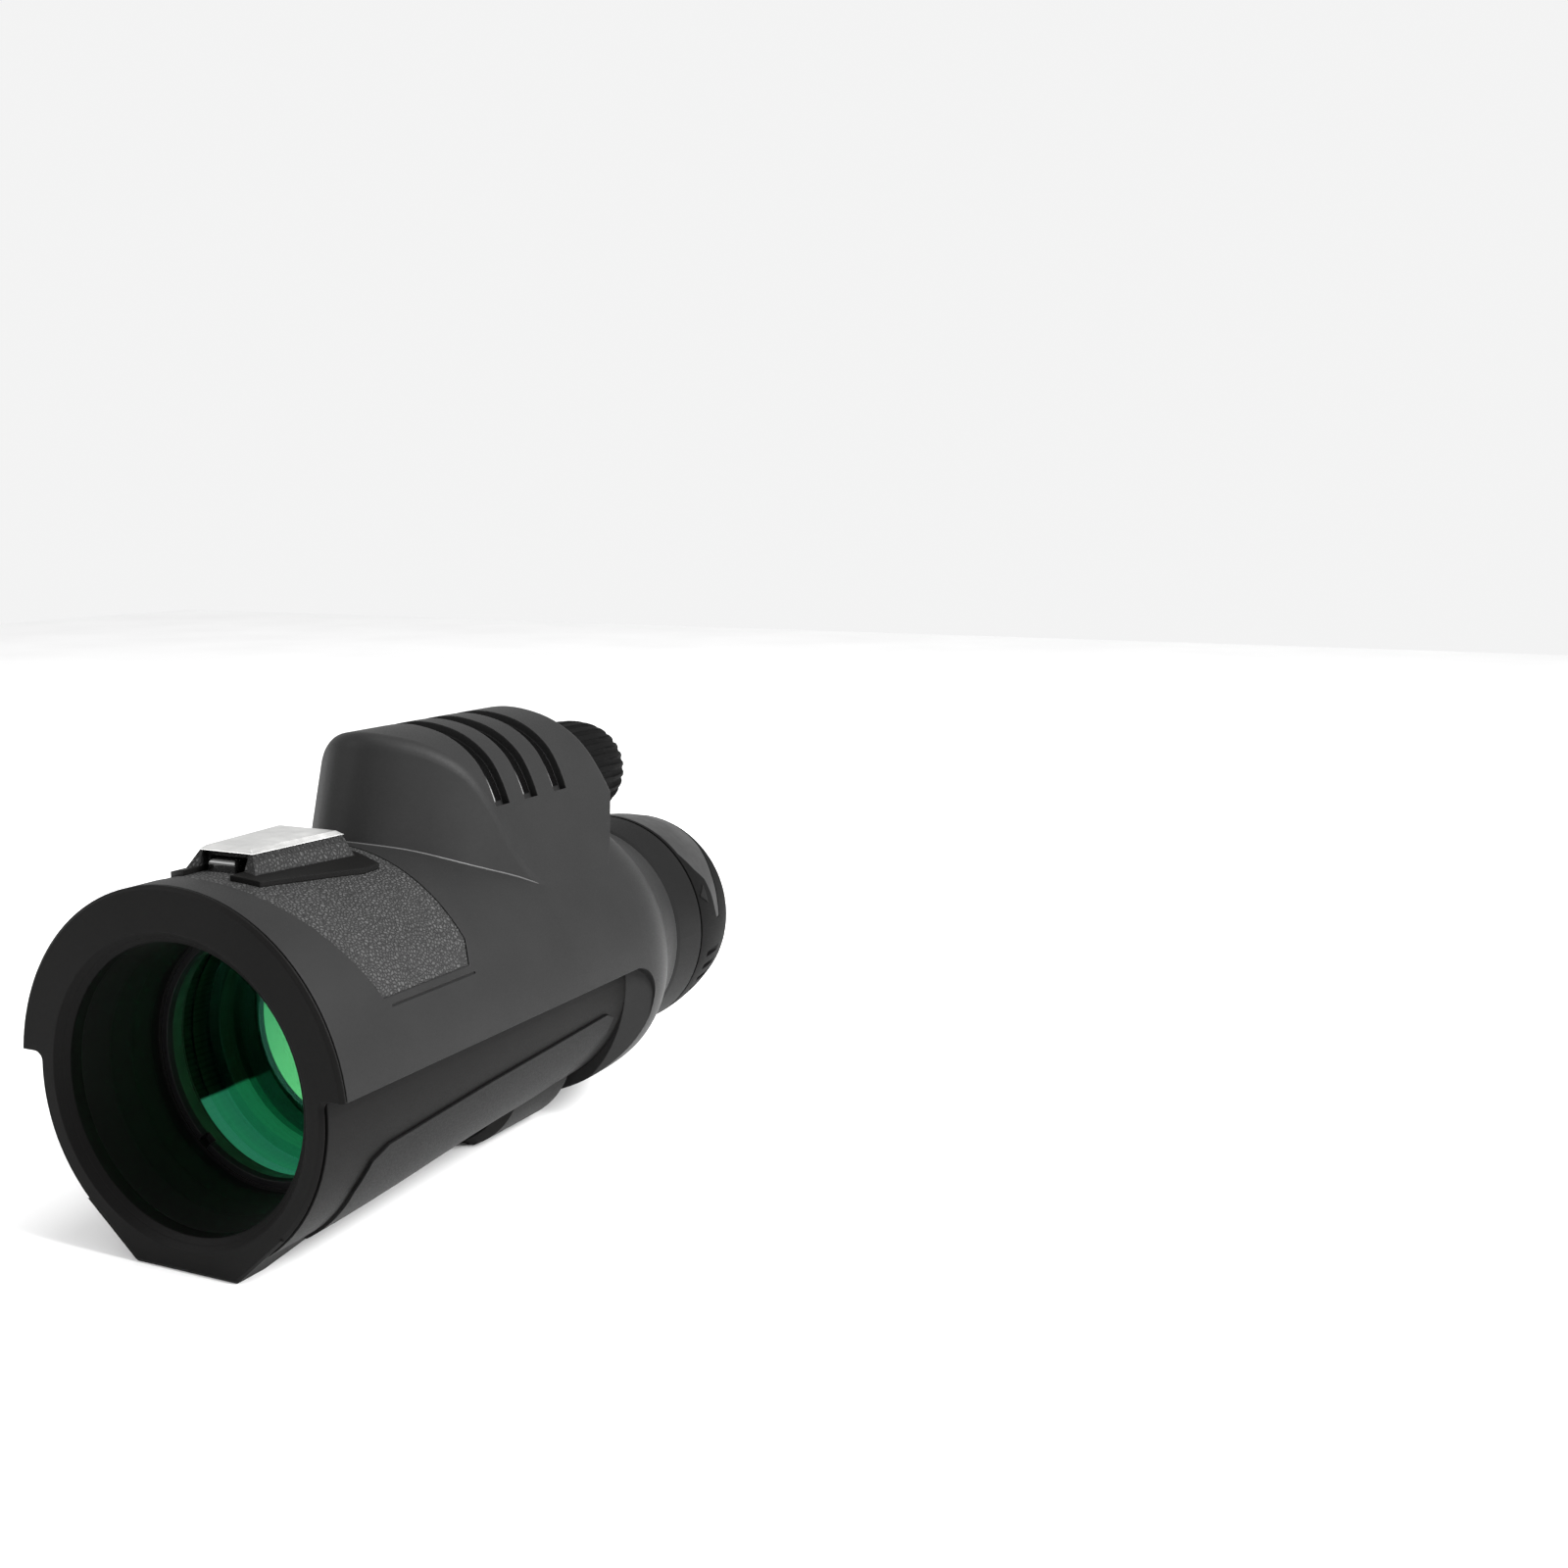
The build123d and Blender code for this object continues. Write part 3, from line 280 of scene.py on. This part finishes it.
def leatherette(name, value, cell_mm=0.62, depth_mm=0.16, smooth_above=None):
    """Leather-grain rubber: rounded cells with painted highlight on their crowns and painted shade in the
    valleys between, over the grain's own tone, and plain and dark above a given height.
    """
    f = Finish(name, 0.5, specular=0.2)
    warp = f.node("ShaderNodeTexNoise")
    warp.inputs["Scale"].default_value = 0.9
    warp.inputs["Detail"].default_value = 3.0
    f.link(f.place, warp.inputs["Vector"])
    bent = f.node("ShaderNodeVectorMath", operation="MULTIPLY_ADD")
    f.link(warp.outputs["Color"], bent.inputs[0])
    bent.inputs[1].default_value = (0.45, 0.45, 0.45)
    f.link(f.place, bent.inputs[2])
    edges = f.cells(cell_mm, "DISTANCE_TO_EDGE", "Distance", bent.outputs["Vector"])
    crown = f.ranged(edges, 0.02, 0.32)
    patch = f.cells(cell_mm, "F1", "Color", bent.outputs["Vector"])
    # Painted highlight on the cell crowns and painted shade in the valleys.
    tone = f.mixed(crown, grey(value * 0.1), grey(value * 2.2))
    tone = f.mixed(f.ranged(patch, 0.1, 0.9, 0.0, 0.2), tone, grey(value * 0.8))
    tone = f.mixed(f.ranged(f.noise(9, 2), 0.35, 0.65, 0.0, 0.12), tone, grey(value * 1.3))
    f.bump(crown, depth_mm, 1.0)
    f.bump(f.noise(0.2, 3, 0.6), 0.012, 0.35)
    # Near black along the edges.
    tone = f.mixed(f.edge_mask(0.55, 1.6), tone, grey(0.001))
    if smooth_above is not None:
        plain = f.ranged(f.along("Z"), smooth_above - 0.04, smooth_above + 0.04)
        tone = f.mixed(plain, tone, grey(value * 0.3))
    return f.done(tone, f.ranged(crown, 0.0, 1.0, 0.7, 0.4))


def plastic(name, value, rough=0.4, coat=0.0, specular=0.4):
    """Moulded plastic with flow mottling and a light texture."""
    f = Finish(name, rough, specular=specular)
    f.shader.inputs["Coat Weight"].default_value = coat
    f.shader.inputs["Coat Roughness"].default_value = 0.08
    f.rounded_edges(0.2)
    tone = f.mixed(f.ranged(f.noise(11, 3), 0.35, 0.65), grey(value * 0.86), grey(value * 1.14))
    # Lighter edges: partly wear, partly a painted highlight.
    wear_and_highlight = f.maths("MULTIPLY", f.edge_mask(0.3, 2.0), 0.25)
    tone = f.mixed(wear_and_highlight, tone, grey(value * 3 + 0.02))
    f.bump(f.noise(0.3, 3, 0.55), 0.006, 0.6)
    return f.done(tone, f.ranged(f.noise(4, 4, 0.6), 0.3, 0.7, rough - 0.06, rough + 0.08))


def metal(name, colour, rough=0.3, turned=True, anodised=False):
    """Machined metal: fine tool lines, smudges and brighter edges. Anodised metal is less metallic."""
    f = Finish(name, rough, metallic=0.35 if anodised else 1.0, specular=0.3)
    f.rounded_edges(0.15)
    stretch = f.stretched(0.25, 3.0, 0.25) if turned else f.stretched(0.2, 0.2, 4.0)
    lines = f.noise(0.5, 4, 0.65, vector=stretch)
    tone = f.mixed(f.ranged(lines, 0.3, 0.7), scaled(colour, 0.82), colour)
    bright = tuple(min(1.0, c * 1.5 + 0.03) for c in colour)
    # Brighter edges: partly wear, partly a painted highlight.
    tone = f.mixed(f.maths("MULTIPLY", f.edge_mask(0.3, 2.0), 0.4), tone, bright)
    f.bump(lines, 0.004, 0.4)
    return f.done(tone, f.ranged(f.noise(6, 4, 0.6), 0.3, 0.7, rough - 0.06, rough + 0.12))


def tube_light(f, value, painted_light_strength):
    """Black anodised inner wall, with a painted teal cast of green light and, on its lower left quarter, a
    painted pool of green light, in the colour and as glow.
    """
    rings = f.noise(0.8, 2, 0.5, vector=f.stretched(0.02, 1.2, 0.02))
    ring_share = f.ranged(rings, 0.3, 0.7)
    # Painted green light: the teal cast in both ring tones.
    dark = (value * 0.5, value * 0.9, value * 0.85)
    light = (value * 0.8, value * 1.3, value * 1.2)
    tone = f.mixed(ring_share, dark, light)
    # Painted light: a pool of green light on the lower left quarter, behind the tube's front.
    height = f.maths("SUBTRACT", f.along("Z"), AXIS_Z)
    slope = f.maths("SUBTRACT", height, f.maths("MULTIPLY", f.along("X"), 0.6))
    lower = f.ranged(slope, -0.3, 0.3, 1.0, 0.0)
    depth = f.ranged(f.along("Y"), TUBE_FRONT, TUBE_FRONT + 0.6)
    tone = f.mixed(depth, (value * 0.6, value * 0.6, value * 0.5), tone)
    patch = f.maths("MULTIPLY", lower, depth)
    lit = f.mixed(ring_share, (0.02, 0.12, 0.07), (0.03, 0.17, 0.1))
    # The painted pool of green light also glows.
    glow = f.mixed(patch, (0.0, 0.0, 0.0), (0.025, 0.155, 0.1))
    f.link(glow, f.shader.inputs["Emission Color"])
    f.shader.inputs["Emission Strength"].default_value = painted_light_strength
    return f.mixed(f.maths("MULTIPLY", patch, painted_light_strength), tone, lit), rings


def lit_tube(name, value, rough, painted_light_strength):
    f = Finish(name, rough, specular=0.15)
    f.rounded_edges(0.15)
    tone, rings = tube_light(f, value, painted_light_strength)
    f.bump(rings, 0.002, 0.3)
    return f.done(tone)


def glass(name, tint, coating):
    """A coated lens: clear, with a coloured gloss that grows towards grazing angles, and a blacked edge that
    carries the tube wall's painted green light.
    """
    f = Finish(name, 0.6, specular=0.1)
    clear = f.node("ShaderNodeBsdfTransparent")
    clear.inputs["Color"].default_value = (*tint, 1.0)
    gloss = f.node("ShaderNodeBsdfGlossy")
    gloss.inputs["Roughness"].default_value = 0.02
    gloss_tone = f.mixed(f.ranged(f.noise(9, 2), 0.3, 0.7), coating, scaled(coating, 0.85))
    f.link(gloss_tone, gloss.inputs["Color"])
    dust = f.ranged(f.noise(0.6, 5, 0.7), 0.62, 0.8, 0.0, 0.02)
    weight = f.node("ShaderNodeLayerWeight")
    weight.inputs["Blend"].default_value = 0.3
    share = f.maths("ADD", f.ranged(weight.outputs["Fresnel"], 0.0, 1.0, 0.02, 0.5), dust)
    lens = f.node("ShaderNodeMixShader")
    f.link(share, lens.inputs[0])
    f.link(clear.outputs["BSDF"], lens.inputs[1])
    f.link(gloss.outputs["BSDF"], lens.inputs[2])
    # The blacked edge: the tube wall's colour, with its painted teal cast and painted pool of green light,
    # partly as glow.
    tone, _ = tube_light(f, 0.0015, 0.9)
    f.done(tone)
    from_axis = f.node("ShaderNodeVectorMath", operation="SUBTRACT")
    f.link(f.stretched(1, 0, 1), from_axis.inputs[0])
    from_axis.inputs[1].default_value = (0, 0, AXIS_Z)
    radius = f.node("ShaderNodeVectorMath", operation="LENGTH")
    f.link(from_axis.outputs["Vector"], radius.inputs[0])
    whole = f.node("ShaderNodeMixShader")
    f.link(f.ranged(radius.outputs["Value"], LENS_EDGE_R - 0.1, LENS_EDGE_R), whole.inputs[0])
    f.link(lens.outputs["Shader"], whole.inputs[1])
    f.link(f.shader.outputs["BSDF"], whole.inputs[2])
    f.link(whole.outputs["Shader"], f.output.inputs["Surface"])
    return f.material


def painted_glow_lens(name):
    """The second lens group, painted as a glow of green light, brighter towards its lower right."""
    f = Finish(name, 0.2, specular=0.3)
    # Painted glow of green light, brighter towards the lower right.
    across = f.maths("ADD", f.along("X"), f.maths("MULTIPLY", f.along("Z"), -0.8))
    tone = f.mixed(f.ranged(across, -45.0, -22.0), (0.12, 0.42, 0.2), (0.4, 0.95, 0.4))
    tone = f.mixed(f.ranged(f.noise(5, 2), 0.35, 0.65, 0.0, 0.25), tone, (0.2, 0.6, 0.26))
    f.link(tone, f.shader.inputs["Emission Color"])
    f.shader.inputs["Emission Strength"].default_value = 1.5
    return f.done((0.03, 0.2, 0.08))


slot_finishes = {
    "armour": rubber("armour_rubber", 0.0085, specular=0.1),
    # Painted shade: the armour's rubber painted darker for the front ring's face and the lower armour.
    "dark_armour": rubber("painted_shade_rubber", 0.003, rough=0.48, specular=0.05, warm=0.03),
    "grip_pad": rubber("pad_rubber", 0.0055, rough=0.58, grain_mm=0.35, depth_mm=0.03, specular=0.08),
    "inlay": leatherette("leatherette", 0.018),
    "black_plastic": plastic("black_plastic", 0.004, rough=0.5, specular=0.15),
    "gloss_black": plastic("gloss_black", 0.003, rough=0.12, coat=0.6),
    "grey_panel": plastic("grey_panel", 0.02, rough=0.45, specular=0.1),
    "silver": metal("silver_plate", (0.62, 0.62, 0.61), rough=0.34, turned=False),
    "black_aluminium": metal("black_anodised", (0.006, 0.006, 0.0065), rough=0.42, anodised=True),
    # Painted pool of green light in the housing's bore.
    "housing": lit_tube("housing_bore", 0.005, 0.5, 0.25),
    "steel": metal("steel", (0.5, 0.5, 0.51)),
    "brass": metal("brass", (0.72, 0.52, 0.24)),
    "seal_rubber": rubber("seal_rubber", 0.006, rough=0.6),
    "coated_glass": glass("coated_glass", (0.72, 0.93, 0.84), (0.15, 0.7, 0.45)),
    "clear_glass": glass("clear_glass", (0.82, 0.95, 0.9), (0.2, 0.7, 0.5)),
}
node_finishes = {
    "badge_block": leatherette("badge_leather", 0.0095, 0.7, 0.1, smooth_above=BADGE_BEVEL_Z),
    # Painted pool of green light in the objective cell's bore, brighter.
    "objective_cell": lit_tube("cell_bore", 0.0015, 0.6, 0.9),
    "eyecup": rubber("eyecup_rubber", 0.0025, rough=0.6, edge=0.15, specular=0.03),
    "eyepiece_collar": rubber("collar_rubber", 0.0045, specular=0.05),
    "knob_grip": rubber("knob_rubber", 0.002, rough=0.6, edge=0.12, specular=0.03),
    "index_mark": plastic("index_mark", 0.001, rough=0.6, specular=0.1),
    "upper_armour": grooved_rubber("upper_rubber", 0.0085),
}
for entry in frame["record"]["subparts"]:
    finish = node_finishes.get(entry["node"]) or slot_finishes[entry["material_slot"]]
    for material_slot in nodes[entry["node"]].material_slots:
        material_slot.material = finish


# Pieces that only this scene has

def new_piece(name, points, faces, material, body):
    mesh = bpy.data.meshes.new(name)
    mesh.from_pydata([tuple(c * MM for c in point) for point in points], [], faces)
    mesh.update()
    for polygon in mesh.polygons:
        polygon.use_smooth = True
    mesh.materials.append(material)
    piece = bpy.data.objects.new(name, mesh)
    bpy.context.scene.collection.objects.link(piece)
    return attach(piece, body)


def inner_glass():
    """The domed second lens group, just in front of the baffle ring."""
    rings, sides = 10, 72
    points = [(0.0, INNER_LENS_Y - INNER_LENS_DOME, AXIS_Z)]
    faces = []
    for index in range(1, rings + 1):
        share = index / rings
        radius = INNER_LENS_R * share
        depth = INNER_LENS_Y - INNER_LENS_DOME * (1 - share * share)
        for side in range(sides):
            angle = 2 * math.pi * side / sides
            points.append((radius * math.cos(angle), depth, AXIS_Z + radius * math.sin(angle)))
    for side in range(sides):
        following = (side + 1) % sides
        faces.append((0, 1 + side, 1 + following))
        for index in range(rings - 1):
            near, far = 1 + index * sides, 1 + (index + 1) * sides
            faces.append((near + side, far + side, far + following, near + following))
    return new_piece("inner_glass", points, faces, painted_glow_lens("painted_glow_lens"), "scope_body")


def spline_point(plan, share):
    """A point along a Catmull-Rom line that starts on the middle plane, as share runs from 0 to 1."""
    place = share * (len(plan) - 1)
    index = min(int(place), len(plan) - 2)
    t = place - index
    before = plan[index - 1] if index else (-plan[1][0], plan[1][1])
    after = plan[min(index + 2, len(plan) - 1)]
    result = []
    for a, b, c, d in zip(before, plan[index], plan[index + 1], after):
        square = (2 * a - 5 * b + 4 * c - d) * t * t
        cube = (3 * b - a - 3 * c + d) * t ** 3
        result.append(0.5 * (2 * b + (c - a) * t + square + cube))
    return result


def crease_highlight_bead():
    """A fine moulded bead where the hump meets the round body, on both sides and around the nose, in pale
    plastic that paints the highlight line along the crease.
    """
    steps, sides, fading = 120, 8, 12
    path = []
    for step in range(-steps, steps + 1):
        plan_x, plan_y = spline_point(CREASE_PLAN, abs(step) / steps)
        plan_x = math.copysign(plan_x, step)
        height = math.sqrt(BODY_R ** 2 - plan_x ** 2)
        back = plan_y + RAKE * (height - RAKE_LEVEL_Z) - HALF_LENGTH
        path.append(Vector((plan_x, back, height + AXIS_Z)))
    points, faces = [], []
    for index, place in enumerate(path):
        ahead = path[min(index + 1, len(path) - 1)] - path[max(index - 1, 0)]
        ahead.normalize()
        outward = Vector((place.x, 0, place.z - AXIS_Z)).normalized()
        aside = ahead.cross(outward).normalized()
        fade = min(1.0, (len(path) / 2 - abs(index - len(path) / 2)) / fading)
        for side in range(sides):
            angle = 2 * math.pi * side / sides
            offset = outward * math.sin(angle) + aside * math.cos(angle)
            points.append(tuple(place + offset * BEAD_R * (0.3 + 0.7 * fade)))
    for index in range(len(path) - 1):
        for side in range(sides):
            following = (side + 1) % sides
            near, far = index * sides, (index + 1) * sides
            faces.append((near + side, near + following, far + following, far + side))
    faces.append(tuple(range(sides)))
    faces.append(tuple(reversed(range(len(points) - sides, len(points)))))
    # Painted highlight: the bead's plastic much paler than the armour.
    finish = plastic("bead", 0.045, rough=0.35, specular=0.3)
    return new_piece("crease_highlight_bead", points, faces, finish, "scope_body")


inner_glass()
crease_highlight_bead()


# Studio

def studio_floor():
    """A wide pale floor."""
    mesh = bpy.data.meshes.new("floor")
    form = bmesh.new()
    bmesh.ops.create_grid(form, x_segments=24, y_segments=24, size=FLOOR_HALF_WIDTH)
    form.to_mesh(mesh)
    form.free()
    floor = bpy.data.objects.new("floor", mesh)
    bpy.context.scene.collection.objects.link(floor)
    f = Finish("studio_floor", 0.7, specular=0.2)
    f.done(f.mixed(f.ranged(f.noise(90, 3), 0.3, 0.7), grey(0.86), grey(0.9)))
    mesh.materials.append(f.material)


def world():
    made = bpy.data.worlds.new("studio")
    made.use_nodes = True
    background = made.node_tree.nodes["Background"]
    background.inputs["Color"].default_value = (1.0, 1.0, 1.0, 1.0)
    background.inputs["Strength"].default_value = WORLD_STRENGTH
    bpy.context.scene.world = made


def camera():
    lens = bpy.data.cameras.new("camera")
    lens.sensor_width = CAMERA_SENSOR_MM
    lens.lens = CAMERA_LENS_MM
    lens.clip_start = 0.01
    holder = bpy.data.objects.new("camera", lens)
    bpy.context.scene.collection.objects.link(holder)
    holder.location = CAMERA_PLACE
    holder.rotation_euler = (math.radians(90 - CAMERA_DOWN), 0, math.radians(CAMERA_TURN))
    bpy.context.scene.camera = holder


def soft_light(name, place, size, power):
    """A rectangular light that faces the scope, with its size in metres and its power in watts."""
    lamp = bpy.data.lights.new(name, "AREA")
    lamp.shape = "RECTANGLE"
    lamp.size, lamp.size_y = size
    lamp.energy = power
    holder = bpy.data.objects.new(name, lamp)
    bpy.context.scene.collection.objects.link(holder)
    holder.location = place
    aim = Vector(LIGHT_TARGET) - Vector(place)
    holder.rotation_euler = aim.to_track_quat("-Z", "Y").to_euler()


studio_floor()
world()
camera()
bpy.context.scene.view_settings.view_transform = "Standard"
soft_light("key", (0.6, 0.05, 0.5), (0.35, 0.5), 17)
soft_light("fill", (-0.6, -0.6, 0.5), (0.5, 0.5), 4)
soft_light("top", (0.1, 0.0, 0.8), (0.3, 0.5), 2.5)
